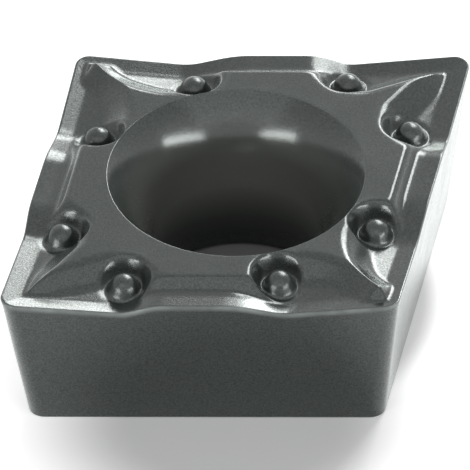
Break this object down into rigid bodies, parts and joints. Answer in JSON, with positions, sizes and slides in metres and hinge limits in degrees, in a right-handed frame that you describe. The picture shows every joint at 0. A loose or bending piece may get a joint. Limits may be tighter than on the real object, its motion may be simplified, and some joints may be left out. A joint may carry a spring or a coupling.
{
  "type": "carbide insert",
  "caption": "Rhombic indexable turning insert with wavy cutting edges, a moulded chip former with round beads, leaning flanks and a trumpet-mouthed clamping hole.",
  "frame": {"origin": "on the axis of the clamping hole, at the flat seating face", "axes": "+Z out of the rake face along the clamping hole, +X along one cutting edge towards its blunter corner, +Y across to the opposite edge"},
  "size_m": [0.0112, 0.0096, 0.0042],
  "materials": {
    "coated_carbide": "as-sintered cemented carbide with a thin dark grey hard coating, satin"
  },
  "bodies": {
    "root": {"insert": "coated_carbide"}
  },
  "joints": []
}
